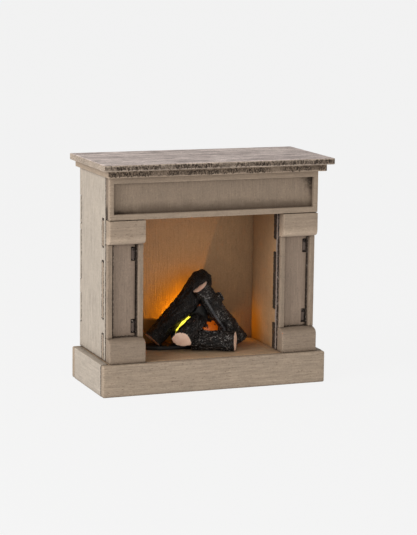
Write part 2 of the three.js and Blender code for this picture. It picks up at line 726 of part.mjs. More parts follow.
// The amber resin: a mound round the lamp, a hump behind the crossing of the logs, and a thin
// bed that the left-hand log stands on.
const emberMound = { middle: [0, 8, 25.5], radii: [14.5, 6.5, 10] };
const emberHump = { middle: [2.5, 10, 36], radii: [7, 5, 12.5] };
const emberBed = {
  outline: [[-28.5, 7], [-23, 4.2], [-8, 3.6], [8, 4.5], [14, 7], [12, 14], [-2, 16],
    [-18, 16.5], [-28, 13]],
  thickness: 2.2,
};

const ellipsoidSolid = ({ middle, radii }) =>
  toSolid(new THREE.SphereGeometry(1, 18, 12).scale(...radii).translate(...middle));

function addLogs() {
  const hearth = boxSolid([-50, 50], [-30, 30], [0, plinthHeight + 0.05]);
  const right = (grow) => logSolid("right_log", grow).add(branchSolid(grow));
  const front = logSolid("front_log").subtract(hearth);
  const short = logSolid("short_log").subtract(logSolid("front_log", cutGap));
  const leaning = right(0).subtract(hearth).subtract(logSolid("front_log", cutGap))
    .subtract(logSolid("short_log", cutGap));
  const left = logSolid("left_log").subtract(hearth).subtract(logSolid("front_log", cutGap))
    .subtract(logSolid("short_log", cutGap)).subtract(right(cutGap));
  add("front_log", toGeometry(front), charredResin());
  add("short_log", toGeometry(short), charredResin());
  add("right_log", toGeometry(leaning), charredResin());
  add("left_log", toGeometry(left), charredResin());

  // Amber resin under, between and behind the logs spreads the lamp's light; the lamp sits in
  // a bore that is open at the rear.
  const bed = extrude(outline(emberBed.outline), emberBed.thickness)
    .translate(0, 0, plinthHeight);
  const bore = rodSolid(ledRadius + 0.7, ledX, ledZ, ledBaseY - 5.2, 30);
  const embers = ellipsoidSolid(emberMound).add(ellipsoidSolid(emberHump)).add(toSolid(bed))
    .subtract(hearth)
    .subtract(logSolid("front_log", cutGap)).subtract(logSolid("short_log", cutGap))
    .subtract(right(cutGap)).subtract(logSolid("left_log", cutGap)).subtract(bore);
  add("ember_glow", toGeometry(embers), amberResin());
}

// ---------------------------------------------------------------- assembly

addShelf();
addFrieze();
addPilaster("left", -1);
addPilaster("right", 1);
addPilasterPanel("left", -sideInnerX);
addPilasterPanel("right", cheekOuterX);
addFrontPanel();
addUprights();
addFirebox();
addPlinth();
addRearPanel();
addBatteryTray();
addContacts(addCells());
addDoor();
addSwitch();
addLamp();
addLeads();
addLogs();

export default mantel;
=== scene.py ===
"""Looks for a dolls' house fireplace mantel: distressed paint over thin board, charred resin
logs and a lit amber core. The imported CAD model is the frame; every painted board is rebuilt
from its own CAD solid with eased edges, and every log from its solid with moulded bark."""
import json
import math

import bmesh
import bpy
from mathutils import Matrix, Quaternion, Vector, noise


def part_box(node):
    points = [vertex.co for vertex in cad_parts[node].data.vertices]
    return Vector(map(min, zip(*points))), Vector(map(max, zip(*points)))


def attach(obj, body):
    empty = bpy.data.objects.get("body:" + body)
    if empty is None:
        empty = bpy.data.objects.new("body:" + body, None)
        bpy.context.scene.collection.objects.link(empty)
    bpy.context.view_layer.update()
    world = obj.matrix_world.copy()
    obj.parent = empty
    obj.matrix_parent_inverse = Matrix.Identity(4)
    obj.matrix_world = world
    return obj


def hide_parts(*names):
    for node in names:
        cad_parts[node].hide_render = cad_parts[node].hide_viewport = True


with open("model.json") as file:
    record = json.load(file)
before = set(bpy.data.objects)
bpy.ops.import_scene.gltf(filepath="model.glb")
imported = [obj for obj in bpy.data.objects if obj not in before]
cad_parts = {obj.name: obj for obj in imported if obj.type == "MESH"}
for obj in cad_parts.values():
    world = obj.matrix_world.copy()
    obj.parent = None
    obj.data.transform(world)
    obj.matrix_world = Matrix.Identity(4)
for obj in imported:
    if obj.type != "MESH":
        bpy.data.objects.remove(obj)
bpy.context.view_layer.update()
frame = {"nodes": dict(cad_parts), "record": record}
nodes = frame["nodes"]
slots = {row["node"]: row["material_slot"] for row in frame["record"]["subparts"]}
MM = 0.001
# Indices of the axes, and of a box's two corners.
X, Y, Z = 0, 1, 2
LOW, HIGH = 0, 1


# ------------------------------------------------------------------ camera, light and floor

# Where the camera looks and from how far, in millimetres, and from which side, in degrees.
CAMERA_AIM = (4.1, -1.3, 63.3)
CAMERA_DISTANCE = 1102.9
AZIMUTH, ELEVATION, ROLL = -21.14, 9.68, 0.69
LENS, SENSOR_WIDTH = 135.35, 36

# What the camera sees behind the mantel, and what lights the mantel from all round.
BACKDROP = (0.916, 0.916, 0.916, 1)
AMBIENT, AMBIENT_STRENGTH = (1.0, 0.985, 0.96, 1), 0.42

# The floor's radius in metres, its own glow, and how pale it is under the lights.
FLOOR_RADIUS, FLOOR_GLOW, FLOOR_TONE = 12, 0.865, (0.05, 0.05, 0.05, 1)


def add_camera():
    azimuth, elevation, roll = (math.radians(angle) for angle in (AZIMUTH, ELEVATION, ROLL))
    back = Vector((math.sin(azimuth) * math.cos(elevation),
                   -math.cos(azimuth) * math.cos(elevation), math.sin(elevation)))
    data = bpy.data.cameras.new("camera")
    data.sensor_width = SENSOR_WIDTH
    data.lens = LENS
    data.clip_start, data.clip_end = 0.01, 50
    camera = bpy.data.objects.new("camera", data)
    bpy.context.scene.collection.objects.link(camera)
    camera.location = (Vector(CAMERA_AIM) + back * CAMERA_DISTANCE) * MM
    camera.rotation_mode = "QUATERNION"
    camera.rotation_quaternion = (-back).to_track_quat("-Z", "Y") @ Quaternion((0, 0, 1), roll)
    bpy.context.scene.camera = camera


def add_light(name, kind, place, aim, energy, color, **settings):
    """A light at place, in millimetres, that faces aim."""
    data = bpy.data.lights.new(name, kind)
    data.energy = energy
    data.color = color
    for key, value in settings.items():
        setattr(data, key, value)
    light = bpy.data.objects.new(name, data)
    bpy.context.scene.collection.objects.link(light)
    light.location = Vector(place) * MM
    direction = (Vector(aim) - Vector(place)).normalized()
    light.rotation_mode = "QUATERNION"
    light.rotation_quaternion = direction.to_track_quat("-Z", "Y")


def add_studio():
    """A pale backdrop, soft light from all round, a key light from the left and a weak fill."""
    scene = bpy.context.scene
    scene.view_settings.view_transform = "Standard"
    world = bpy.data.worlds.new("studio")
    scene.world = world
    world.use_nodes = True
    tree = world.node_tree
    tree.nodes.clear()
    out = tree.nodes.new("ShaderNodeOutputWorld")
    seen = tree.nodes.new("ShaderNodeBackground")
    seen.inputs["Color"].default_value = BACKDROP
    lit = tree.nodes.new("ShaderNodeBackground")
    lit.inputs["Color"].default_value = AMBIENT
    lit.inputs["Strength"].default_value = AMBIENT_STRENGTH
    path = tree.nodes.new("ShaderNodeLightPath")
    mix = tree.nodes.new("ShaderNodeMixShader")
    tree.links.new(path.outputs["Is Camera Ray"], mix.inputs["Fac"])
    tree.links.new(lit.outputs[0], mix.inputs[1])
    tree.links.new(seen.outputs[0], mix.inputs[2])
    tree.links.new(mix.outputs[0], out.inputs["Surface"])

    middle = (0, 0, 60)
    add_light("key", "AREA", (-900, -260, 420), middle, 8.2, (1.0, 0.985, 0.965),
              shape="RECTANGLE", size=0.7, size_y=0.7)
    add_light("fill", "AREA", (420, -1000, 130), middle, 2.6, (1.0, 0.93, 0.85),
              shape="RECTANGLE", size=0.8, size_y=0.6)


def add_floor():
    """A pale disc that glows as bright as the backdrop and takes a faint shadow."""
    bm = bmesh.new()
    bmesh.ops.create_circle(bm, cap_ends=True, segments=96, radius=FLOOR_RADIUS)
    mesh = bpy.data.meshes.new("floor")
    bm.to_mesh(mesh)
    bm.free()
    floor = linked("floor", mesh)
    s = Shader("pale_floor")
    s.tree.nodes.remove(s.surface)
    glow = s.put("ShaderNodeEmission", Color=(1, 1, 1, 1), Strength=FLOOR_GLOW)
    matt = s.put("ShaderNodeBsdfDiffuse", Color=FLOOR_TONE)
    both = s.put("ShaderNodeAddShader")
    s.tree.links.new(glow.outputs[0], both.inputs[0])
    s.tree.links.new(matt.outputs[0], both.inputs[1])
    s.tree.links.new(both.outputs[0], s.out.inputs["Surface"])
    mesh.materials.append(s.material)


def linked(name, mesh):
    """A new object of the scene that shows a mesh."""
    piece = bpy.data.objects.new(name, mesh)
    bpy.context.scene.collection.objects.link(piece)
    return piece


def stand_in(piece, node):
    """Puts a piece in the place of a CAD node. All the rebuilt nodes belong to the root body."""
    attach(piece, "root")
    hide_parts(node)


# ------------------------------------------------------------------ shader building

class Shader:
    """A material and short ways to add and wire its nodes."""

    def __init__(self, name):
        self.material = bpy.data.materials.new(name)
        self.material.use_nodes = True
        self.tree = self.material.node_tree
        self.surface = self.tree.nodes["Principled BSDF"]
        self.out = self.tree.nodes["Material Output"]

    def put(self, kind, settings=None, **inputs):
        made = self.tree.nodes.new(kind)
        for key, value in (settings or {}).items():
            setattr(made, key, value)
        for key, value in inputs.items():
            self.feed(made.inputs[key.replace("_", " ")], value)
        return made

    def feed(self, socket, value):
        if isinstance(value, bpy.types.NodeSocket):
            self.tree.links.new(value, socket)
        else:
            socket.default_value = value

    def math(self, operation, a, b=0.0):
        made = self.put("ShaderNodeMath", {"operation": operation})
        self.feed(made.inputs[0], a)
        self.feed(made.inputs[1], b)
        return made.outputs[0]

    def vector(self, operation, a, b=(0, 0, 0), result="Vector"):
        made = self.put("ShaderNodeVectorMath", {"operation": operation})
        self.feed(made.inputs[0], a)
        self.feed(made.inputs[1], b)
        return made.outputs[result]

    def distance(self, point, centre):
        """How far a point is from a centre, both in millimetres."""
        return self.vector("LENGTH", self.vector("SUBTRACT", point, centre), result="Value")

    def ease(self, value, low, high, start=0.0, end=1.0):
        """Goes smoothly from start to end as value goes from low to high."""
        made = self.put("ShaderNodeMapRange", {"interpolation_type": "SMOOTHSTEP"},
                        Value=value, From_Min=low, From_Max=high, To_Min=start, To_Max=end)
        return made.outputs[0]

    def mix(self, amount, a, b, blend="MIX"):
        made = self.put("ShaderNodeMix", {"data_type": "RGBA", "blend_type": blend})
        self.feed(made.inputs[0], amount)
        self.feed(made.inputs[6], a)
        self.feed(made.inputs[7], b)
        return made.outputs[2]

    def shade(self, tone, amount, gain):
        """The tone made brighter or darker by a gain, as far as the amount says."""
        return self.mix(amount, tone, (gain, gain, gain, 1), "MULTIPLY")

    def noise(self, place, scale, detail=3.0, roughness=0.55, distortion=0.0):
        made = self.put("ShaderNodeTexNoise", Vector=place, Scale=scale, Detail=detail,
                        Roughness=roughness, Distortion=distortion)
        return made.outputs["Fac"]

    def stretched(self, place, *scale):
        return self.vector("MULTIPLY", place, scale)

    def millimetres(self, seed=0.0):
        """The point on the piece in millimetres, shifted by a seed."""
        coordinate = self.put("ShaderNodeTexCoord").outputs["Object"]
        scaled = self.stretched(coordinate, 1 / MM, 1 / MM, 1 / MM)
        return self.vector("ADD", scaled, (seed * 37.1, seed * 11.7, seed * 23.3))

    def split(self, vector):
        return self.put("ShaderNodeSeparateXYZ", Vector=vector).outputs[:3]

    def normal(self):
        return self.split(self.put("ShaderNodeNewGeometry").outputs["Normal"])

    def attribute(self, name):
        return self.put("ShaderNodeAttribute", {"attribute_name": name}).outputs["Fac"]

    def bump(self, height, distance_mm, strength):
        made = self.put("ShaderNodeBump", Height=height, Distance=distance_mm * MM,
                        Strength=strength)
        self.feed(self.surface.inputs["Normal"], made.outputs[0])


def tint(color, gain=1.0):
    return tuple(c * gain for c in color) + (1.0,)


# ------------------------------------------------------------------ paint

# The dark ground under the paint, the lamp's amber glow painted onto the boards, the dark strokes
# over the shelf's pale top, and pale crumbs in the joints.
GROUND = (0.045, 0.030, 0.020)
PAINTED_LAMPLIGHT = (0.245, 0.117, 0.009)
DARK_STROKES = (0.33, 0.27, 0.26)
JOINT_CRUMBS = (0.40, 0.335, 0.285)


class BoardShader(Shader):
    """A painted board's material: its corners in millimetres and the noises of its paint."""

    def __init__(self, node, grain, ground, seed):
        super().__init__(node + "_paint")
        low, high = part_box(node)
        self.low = [place / MM for place in low]
        self.high = [place / MM for place in high]
        self.ground = ground
        self.real = self.millimetres()
        self.point = self.millimetres(seed)
        along = self.along_grain(grain, 0.055)
        self.patches = self.noise(self.point, 0.13, 4.0, 0.6)
        self.brush = self.noise(along, 1.15, 5.0, 0.62, 0.15)
        self.fibre = self.noise(along, 3.6, 3.0, 0.6)
        self.speck = self.noise(self.point, 3.1, 2.0, 0.6)
        self.dashes = self.noise(self.along_grain(grain, 0.22), 2.1, 3.0, 0.6)
        self.lifted = self.noise(self.point, 1.05, 4.0, 0.7)

    def along_grain(self, grain, share):
        """The point with distances along the grain cut to a share, which draws marks out."""
        scale = [1.0, 1.0, 1.0]
        scale[grain] = share
        return self.stretched(self.point, *scale)

    def edge(self):
        """How far a point is from the board's nearest edge: of its distances to the faces along
        X, Y and Z, the least is nought on a face, and the middle one is that to the edge."""
        centre = tuple((a + b) / 2 for a, b in zip(self.low, self.high))
        half = tuple((b - a) / 2 for a, b in zip(self.low, self.high))
        inside = self.vector("ABSOLUTE", self.vector("SUBTRACT", self.real, centre))
        across, deep, up = self.split(self.vector("SUBTRACT", half, inside))
        least = self.math("MINIMUM", across, deep)
        most = self.math("MAXIMUM", across, deep)
        return self.math("MAXIMUM", least, self.math("MINIMUM", most, up))


def paint(node, color, grain, seed, ground=GROUND, streak=0.16, mottle=0.06, rub=0.5, scuff=0.0,
          corner_shade=0.6, stain=0.0, pits=0.3, edge_highlight=0.16, seams=(), amber=None, top=None,
          lip=None):
    """Thin chalky paint over a dark ground, on a board whose grain runs along one axis.

    streak is the strength of the brush marks, mottle of the large patches, rub of the worn
    edges, scuff of the hatched bare marks on the front edge, corner_shade of the painted shade in
    corners and recesses, stain of the darkening along the lower edge and in the left-hand corner
    and of the stain from the top right-hand corner, pits of the short grain marks and
    edge_highlight of the painted highlight along the edges. seams are the dark broken lines where
    boards meet, see seamed(). amber is the lamp's glow painted onto the board: how far, round
    which point, and between which distances it fades. top is another colour for the upper face.
    lip is where another colour takes over, which on the capitals is a painted highlight and on the
    cheeks a paler margin, partly the front's paint and partly painted light: an axis, the places
    between which it does, the colour and how far it goes."""
    s = BoardShader(node, grain, ground, seed)
    tone = first_coat(s, color, top, lip)
    tone = brushed(s, tone, streak, mottle, pits)
    tone = edges_worn(s, tone, rub, edge_highlight)
    if scuff:
        tone = scuffed(s, tone, scuff)
    if stain:
        tone = darkened_foot_and_stain(s, tone, stain)
    for seam in seams:
        tone = seamed(s, tone, *seam)
    # Painted lamplight: the lamp's amber glow is mixed into the paint, strongest round the given
    # point.
    if amber:
        share, centre, near_mm, far_mm = amber
        lamplit_share = s.ease(s.distance(s.real, centre), near_mm, far_mm, share, 0.0)
        tone = s.mix(lamplit_share, tone, tint(PAINTED_LAMPLIGHT))
    # Painted shade: an ambient occlusion mask darkens the paint in corners and recesses, broken up
    # by noise.
    if corner_shade:
        shadow = s.put("ShaderNodeAmbientOcclusion", {"samples": 6}, Distance=2.6 * MM)
        corner = s.ease(shadow.outputs["AO"], 0.30, 0.92, corner_shade, 0.0)
        uneven = s.ease(s.noise(s.point, 0.8, 3.0), 0.25, 0.60, 0.45, 1.0)
        tone = s.mix(s.math("MULTIPLY", corner, uneven), tone, tint(ground, 1.8))

    s.feed(s.surface.inputs["Base Color"], tone)
    s.feed(s.surface.inputs["Roughness"], s.ease(s.patches, 0.3, 0.7, 0.72, 0.86))
    s.surface.inputs["Specular IOR Level"].default_value = 0.28
    relief = s.math("ADD", s.math("MULTIPLY", s.brush, 0.8), s.math("MULTIPLY", s.fibre, 0.35))
    relief = s.math("ADD", relief, s.math("MULTIPLY", s.speck, 0.25))
    relief = s.math("ADD", relief, s.math("MULTIPLY", s.lifted, 0.5))
    s.bump(relief, 0.26, 0.85)
    return s.material


def first_coat(s, color, top, lip):
    """The paint's own colour, another one with broad dark strokes on the upper face if the board
    has that, and a third one past a lip, which on the capitals is a painted highlight and on the
    cheeks a paler margin, partly painted light."""
    base = tint(color)
    if top:
        facing_up = s.ease(s.normal()[Z], 0.5, 0.9)
        base = s.mix(facing_up, base, tint(top))
        strokes = s.noise(s.stretched(s.point, 0.04, 0.32, 1.0), 1.0, 5.0, 0.72, 0.5)
        strokes = s.math("MULTIPLY", s.ease(strokes, 0.38, 0.52, 0.85, 0.0), facing_up)
        base = s.mix(strokes, base, tint(DARK_STROKES))
    # Past a lip another colour takes over: on the capitals a painted highlight, on the cheeks a
    # margin that is partly painted light.
    if lip:
        axis, dull, bright, other, share = lip
        reached = s.ease(s.split(s.real)[axis], dull, bright, 0.0, share)
        base = s.mix(reached, base, tint(other))
    return base


def brushed(s, tone, streak, mottle, pits):
    """Large patches, brush marks, fibres, specks, grain marks and lifted paint."""
    tone = s.shade(tone, s.ease(s.patches, 0.32, 0.50, 1, 0), 1.0 - mottle)
    tone = s.shade(tone, s.ease(s.patches, 0.50, 0.68), 1.0 + mottle)
    tone = s.shade(tone, s.ease(s.brush, 0.36, 0.50, streak, 0.0), 0.42)
    tone = s.shade(tone, s.ease(s.brush, 0.52, 0.66, 0.0, streak * 1.4), 1.45)
    tone = s.shade(tone, s.ease(s.fibre, 0.32, 0.48, 0.34, 0.0), 0.60)
    tone = s.shade(tone, s.ease(s.speck, 0.58, 0.72, 0.0, 0.35), 1.35)
    tone = s.mix(s.ease(s.dashes, 0.60, 0.68, 0.0, pits * 0.75), tone, tint(s.ground, 3.2))
    tone = s.shade(tone, s.ease(s.lifted, 0.55, 0.65, 0.0, 0.26), 1.5)
    return s.shade(tone, s.ease(s.lifted, 0.35, 0.45, 0.28, 0.0), 0.55)


def edges_worn(s, tone, rub, edge_highlight):
    """A painted highlight along the edges, and paint chipped off them."""
    edge = s.edge()
    wander = s.noise(s.point, 0.55, 3.0, 0.6)
    near = s.math("SUBTRACT", edge, s.ease(wander, 0.3, 0.7, -0.35, 0.45))
    # Painted highlight: the tone is lifted in a ragged band along the edges, where light catches
    # the rounded paint.
    painted_highlight = s.math("MULTIPLY", s.ease(near, 0.15, 0.75, 1.0, 0.0), edge_highlight)
    tone = s.shade(tone, painted_highlight, 1.75)
    chips = s.math("MULTIPLY", s.ease(s.noise(s.point, 0.9, 4.0, 0.7), 0.56, 0.64),
                   s.ease(edge, 0.15, 0.9, rub, 0.0))
    return s.mix(chips, tone, tint(s.ground, 1.6))


def scuffed(s, tone, amount):
    """Hatched bare marks along the front edge of a board, between its clean lips."""
    front = s.ease(s.normal()[Y], -0.9, -0.6, 1.0, 0.0)
    height = s.math("SUBTRACT", s.split(s.real)[Z], s.low[Z])
    thick = s.high[Z] - s.low[Z]
    ragged = s.noise(s.stretched(s.point, 1, 1, 0), 0.7, 3.0, 0.7)
    height = s.math("ADD", height, s.ease(ragged, 0.3, 0.7, -0.45, 0.45))
    band = s.math("MULTIPLY", s.ease(height, 0.45, 0.8),
                  s.ease(height, thick - 0.95, thick - 0.5, 1.0, 0.0))
    runs = s.noise(s.stretched(s.point, 1, 0, 0), 0.06, 3.0, 0.65)
    where = s.ease(runs, 0.36, 0.52, 0.25, 1.0)
    here = s.math("MULTIPLY", s.math("MULTIPLY", front, band), s.math("MULTIPLY", where, amount))
    tone = s.mix(s.math("MULTIPLY", here, 0.55), tone, tint(s.ground, 3.4))
    hatch = s.noise(s.stretched(s.point, 1, 1, 0.28), 1.9, 4.0, 0.7, 0.4)
    crumbs = s.noise(s.point, 1.3, 4.0, 0.75)
    worn = s.math("MAXIMUM", s.ease(hatch, 0.45, 0.53), s.ease(crumbs, 0.53, 0.60))
    return s.mix(s.math("MULTIPLY", here, worn), tone, tint(s.ground, 0.55))


def darkened_foot_and_stain(s, tone, amount):
    """A soft brown darkening towards the foot of a framed panel, nearly black in its left-hand
    corner, and a stain that runs down from its top right-hand corner."""
    frame_side, frame_foot, frame_top = 2.5, 3.0, 3.6
    across, _, up = s.split(s.real)
    left = s.math("SUBTRACT", across, s.low[X] + frame_side)
    right = s.math("SUBTRACT", s.high[X] - frame_side, across)
    foot = s.math("SUBTRACT", up, s.low[Z] + frame_foot)
    top = s.math("SUBTRACT", s.high[Z] - frame_top, up)

    drift = s.noise(s.stretched(s.point, 0.5, 1, 1), 0.16, 3.0, 0.6)
    foot = s.math("SUBTRACT", foot, s.ease(drift, 0.3, 0.7, -1.0, 1.2))
    reach = (s.high[Z] - s.low[Z]) * 0.30
    tone = s.mix(s.ease(foot, 0.0, reach, amount * 0.70, 0.0), tone, tint(s.ground, 1.5))
    corner = s.math("ADD", s.math("MULTIPLY", left, 0.16), s.math("MULTIPLY", foot, 0.8))
    tone = s.mix(s.ease(corner, 0.6, 3.4, amount, 0.0), tone, tint(s.ground, 0.5))
    tone = s.mix(s.ease(left, 0.0, 2.6, amount * 0.4, 0.0), tone, tint(s.ground, 1.8))

    spread = s.math("ADD", s.math("MULTIPLY", right, 0.62), s.math("MULTIPLY", top, 0.42))
    ragged = s.ease(s.noise(s.point, 0.4, 3.0, 0.6), 0.3, 0.7, 1.1, -1.0)
    spread = s.math("ADD", spread, ragged)
    tone = s.mix(s.ease(spread, 1.2, 6.0, amount * 0.7, 0.0), tone, tint(s.ground, 1.0))
    return s.mix(s.ease(spread, 0.8, 3.4, amount, 0.0), tone, tint(s.ground, 0.35))


def seamed(s, tone, axis, place, width, *limits):
    """A broken dark line on the plane where this board meets its neighbour: the plane's axis, its
    place and the line's half width, then what limits it: nothing, or the heights where it starts
    and ends, or the least distance from the middle of the mantel."""
    soft = 0.1
    along = s.split(s.real)
    gap = s.math("ABSOLUTE", s.math("SUBTRACT", along[axis], place))
    ragged = s.ease(s.noise(s.point, 0.75, 3.0, 0.7), 0.36, 0.62, -0.30, 0.18)
    line = s.ease(s.math("SUBTRACT", gap, s.math("ADD", ragged, width)), -0.12, 0.08, 0.96, 0.0)
    if len(limits) == 2:
        start, end = limits
        inside = s.math("MULTIPLY", s.ease(along[Z], start - soft, start + soft),
                        s.ease(along[Z], end - soft, end + soft, 1.0, 0.0))
        line = s.math("MULTIPLY", line, inside)
    if len(limits) == 1:
        outside = s.ease(s.math("ABSOLUTE", along[X]), limits[0] - soft, limits[0] + soft)
        line = s.math("MULTIPLY", line, outside)
    share = 0.1 if axis == X else 0.7
    crumbs = s.ease(s.noise(s.point, 1.0, 3.0, 0.7), 0.56, 0.61, 0.0, share)
    return s.mix(line, tone, s.mix(crumbs, tint(s.ground, 0.45), tint(JOINT_CRUMBS)))


# ------------------------------------------------------------------ painted boards

# The least distance between the cuts that give a board's faces points to bend at, the size of
# the waves that sanding left in them, and the radius of its arrises, all in millimetres. The keys
# are cut sharper, and the boards in the list are sanded to radii of their own.
GRID = 2.5
WAVE, KEY_WAVE = 0.033, 0.012
ARRIS, KEY_ARRIS = 0.34, 0.12
ROUNDED = {"plinth_front_board": 0.9, "plinth_left_board": 0.45, "plinth_right_board": 0.45,
           "mantel_shelf": 0.5, "plinth_rear_board": 0.9}


def eased_mesh(node, arris, wave_depth, seed):
    """The node's own solid with rounded arrises and hand-sanded, slightly wavy faces."""
    bm = bmesh.new()
    bm.from_mesh(nodes[node].data)
    bmesh.ops.remove_doubles(bm, verts=bm.verts, dist=0.001 * MM)
    bmesh.ops.dissolve_limit(bm, angle_limit=math.radians(1), verts=bm.verts, edges=bm.edges)
    sharp = [e for e in bm.edges if len(e.link_faces) == 2
             and e.calc_face_angle(0) > math.radians(28)]
    bmesh.ops.bevel(bm, geom=sharp, offset=arris * MM, segments=3, profile=0.5,
                    affect="EDGES", clamp_overlap=True)
    low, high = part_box(node)
    for axis in (X, Y, Z):
        normal = Vector((0, 0, 0))
        normal[axis] = 1
        steps = int((high[axis] - low[axis]) / (GRID * MM))
        for step in range(1, steps):
            place = Vector(low)
            place[axis] = low[axis] + (high[axis] - low[axis]) * step / steps
            bmesh.ops.bisect_plane(bm, geom=bm.verts[:] + bm.edges[:] + bm.faces[:],
                                   plane_co=place, plane_no=normal, dist=0.0005 * MM)
    bm.normal_update()
    shift = Vector((seed * 3.7, seed * 1.3, seed * 2.9))
    for vert in bm.verts:
        wave = noise.noise(vert.co / (7 * MM) + shift)
        wave += 0.5 * noise.noise(vert.co / (2.6 * MM) + shift)
        # Taking one away keeps the waves inside the CAD solid.
        vert.co += vert.normal * (wave - 1.0) * wave_depth * MM
    mesh = bpy.data.meshes.new(node + "_painted")
    bm.to_mesh(mesh)
    bm.free()
    for polygon in mesh.polygons:
        polygon.use_smooth = True
    return mesh


FRONT_PAINT = (0.318, 0.246, 0.184)
BLOCK_PAINT = (0.272, 0.209, 0.156)
PLINTH_PAINT = (0.345, 0.270, 0.202)
# The sides carry the front's paint made paler: partly its own slightly paler tone, partly painted
# light from the left.
LIT_SIDE_PAINT = (0.405, 0.350, 0.292)
FIELD_PAINT = (0.270, 0.207, 0.154)
RECESS_PAINT = (0.285, 0.216, 0.166)
SHELF_TOP = (0.75, 0.645, 0.605)
SHELF_EDGE = (0.345, 0.280, 0.225)
FIREBOX_PAINT = (0.365, 0.222, 0.115)
HEARTH_PAINT = (0.44, 0.30, 0.185)
BASE_PAINT = (0.36, 0.27, 0.17)
KEY_PAINT = (0.125, 0.096, 0.080)
KEY_GROUND = (0.020, 0.014, 0.011)
# A paler paint for the capitals' rounded lips: a painted highlight.
LIP_HIGHLIGHT_PAINT = (0.50, 0.39, 0.295)
# The cheeks' paler front margin: partly the front's paint, partly painted light falling in at the
# opening.
LIT_MARGIN_PAINT = (0.30, 0.245, 0.215)


def face(node, axis, end):
    """The place, in millimetres, of a node's lowest or highest face along an axis."""
    return round(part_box(node)[end][axis] / MM, 2)


def finger_spans(node, axis):
    """The heights, in millimetres, between which a node's fingers reach its high end along an
    axis."""
    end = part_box(node)[HIGH][axis] - 0.01 * MM
    corners = [corner.co for corner in nodes[node].data.vertices if corner.co[axis] > end]
    heights = sorted({round(corner.z / MM, 2) for corner in corners})
    return list(zip(heights[::2], heights[1::2]))


# Planes, in millimetres, where the boards meet. The rear joint is the middle of its gap.
REAR_GAP = 0.1
PLINTH_TOP = face("left_side_panel", Z, LOW)
PLINTH_JOINT = face("plinth_front_board", Y, HIGH)
STILE_BACK = face("left_outer_stile", Y, HIGH)
STILE_EDGE = face("right_outer_stile", X, LOW)
BLOCK_TOP = face("left_outer_stile", Z, LOW)
FINGER_FACES = face("front_panel", Y, LOW), face("front_panel", Y, HIGH)
REAR_JOINT = face("rear_panel", Y, LOW) - REAR_GAP / 2
# How far the side panels' inner faces and the cheeks' inner faces are from the middle.
SIDE_INSIDE = face("right_side_panel", X, LOW)
CHEEK_INSIDE = face("right_firebox_cheek", X, LOW)
# The heights of the front panel's fingers in the sides, and of the sides' in the rear panel.
FINGERS = finger_spans("front_panel", X)
REAR_FINGERS = finger_spans("left_side_panel", Y)
# The heights between which a capital's paint turns paler, down to its rounded lip: a painted
# highlight where light falls on the curve.
CAPITAL_LIP = 87.0, 84.0

# Seams: the plane's axis and place, the half width, and the limits. See seamed().
FINGER_SIDES = [(Y, place, *span) for span in FINGERS for place in FINGER_FACES]
SIDE_SEAMS = [(Y, STILE_BACK, 0.85), (Z, PLINTH_TOP, 0.75)]
SIDE_SEAMS += [(axis, place, 0.42, *span) for axis, place, *span in FINGER_SIDES]
SIDE_SEAMS += [(Y, REAR_JOINT, 0.5, *span) for span in REAR_FINGERS]
CHEEK_SEAMS = [(Y, STILE_BACK, 1.5)]
CHEEK_SEAMS += [(axis, place, 0.5, *span) for axis, place, *span in FINGER_SIDES]
FINGER_SEAMS = [(Y, place, 0.42) for place in FINGER_FACES]
FINGER_SEAMS += [(Z, end, 0.85, CHEEK_INSIDE) for span in FINGERS for end in span]
# The fingers' ends are scorched where they show inside the firebox.
FINGER_SEAMS += [(X, side * CHEEK_INSIDE, 0.5, *span) for side in (-1, 1) for span in FINGERS]
REAR_SEAMS = [(Z, end, 0.35, SIDE_INSIDE) for span in REAR_FINGERS for end in span]
BLOCK_SEAM = (Z, BLOCK_TOP, 0.7)

# How each board is painted: colour, grain axis, then whatever differs from paint()'s own values.
SIDE = dict(streak=0.3, edge_highlight=0.1, corner_shade=0.85, seams=SIDE_SEAMS)
STILE = dict(seams=[(Y, STILE_BACK, 0.42)])
INNER_STILE = dict(seams=[(Y, STILE_BACK, 1.3)])
RECESS = dict(streak=0.15, corner_shade=1.0)
BLOCK = dict(pits=0.5, corner_shade=0.9, seams=[(Y, STILE_BACK, 0.6)])
CAPITAL = dict(pits=0.8, seams=[(Y, STILE_BACK, 0.6)], lip=(Z, *CAPITAL_LIP, LIP_HIGHLIGHT_PAINT, 0.6))
# Past the fingers the cheeks turn paler: partly the front's paint carried round, partly painted
# light from the front.
CHEEK_MARGIN = (Y, FINGER_FACES[0] + 0.3, FINGER_FACES[0] - 0.1, LIT_MARGIN_PAINT, 1.0)
CHEEK = dict(streak=0.1, seams=CHEEK_SEAMS, lip=CHEEK_MARGIN)
PLINTH_SIDE = dict(edge_highlight=0.1, seams=[(Y, PLINTH_JOINT, 0.6)])
KEY = dict(rub=1.0, corner_shade=1.0, edge_highlight=0.0, ground=KEY_GROUND)
